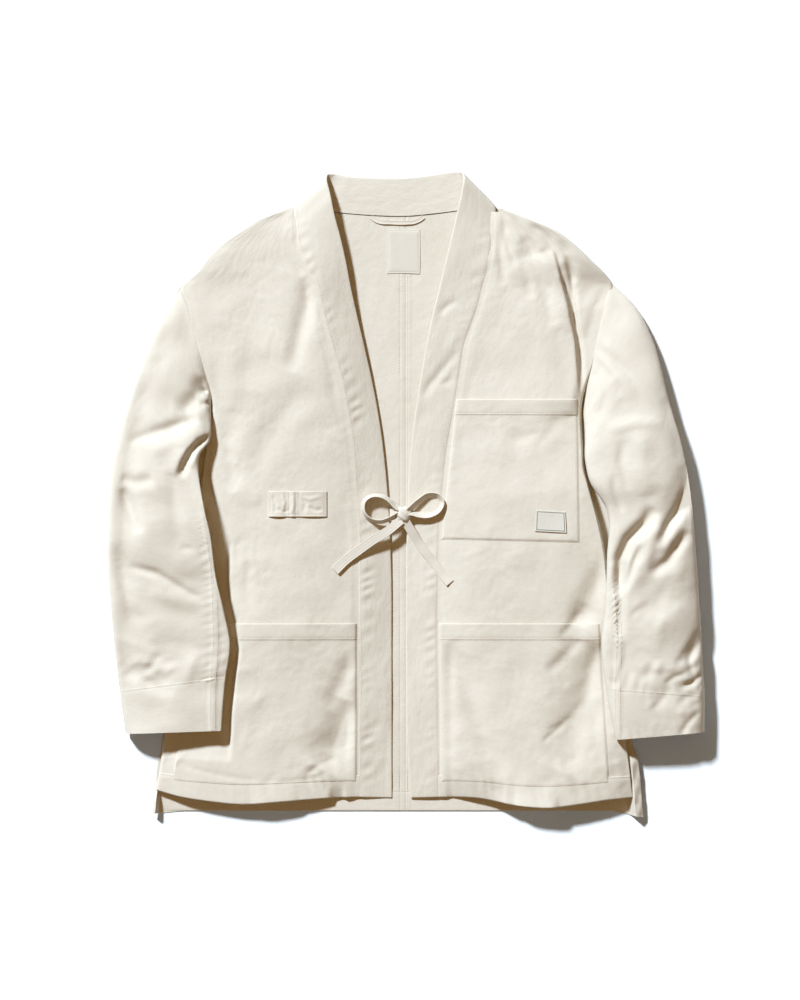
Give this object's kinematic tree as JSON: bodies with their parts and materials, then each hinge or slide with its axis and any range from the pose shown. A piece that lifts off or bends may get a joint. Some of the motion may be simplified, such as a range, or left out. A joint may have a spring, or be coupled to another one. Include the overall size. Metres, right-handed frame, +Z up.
{
  "type": "noragi jacket",
  "caption": "Canvas noragi jacket lying flat on its back, with a band collar, wide sleeves, patch pockets, a chest pocket with pen loops opposite, and a cloth tie in a bow.",
  "frame": {"origin": "middle of the jacket's outline, on the surface that it lies on", "axes": "+X to the wearer's left, +Y from the hem to the collar, +Z up from the surface"},
  "size_m": [0.7256, 0.7861, 0.0361],
  "materials": {
    "canvas": "matt woven cotton",
    "tape": "matt woven cotton",
    "label": "smooth woven label"
  },
  "bodies": {
    "root": {"back_left": "canvas", "back_right": "canvas", "front_left": "canvas", "front_right": "canvas", "sleeve_left": "canvas", "sleeve_right": "canvas", "collar_band": "canvas", "pocket_left": "canvas", "pocket_right": "canvas", "chest_pocket": "canvas", "chest_patch": "label", "pen_loops": "canvas", "neck_label": "label", "hanger_loop": "tape", "bow_loop_left": "tape", "bow_loop_right": "tape", "bow_tail_left": "tape", "bow_tail_right": "tape", "tie_lead_left": "tape", "tie_lead_right": "tape", "bow_knot": "tape"}
  },
  "joints": []
}
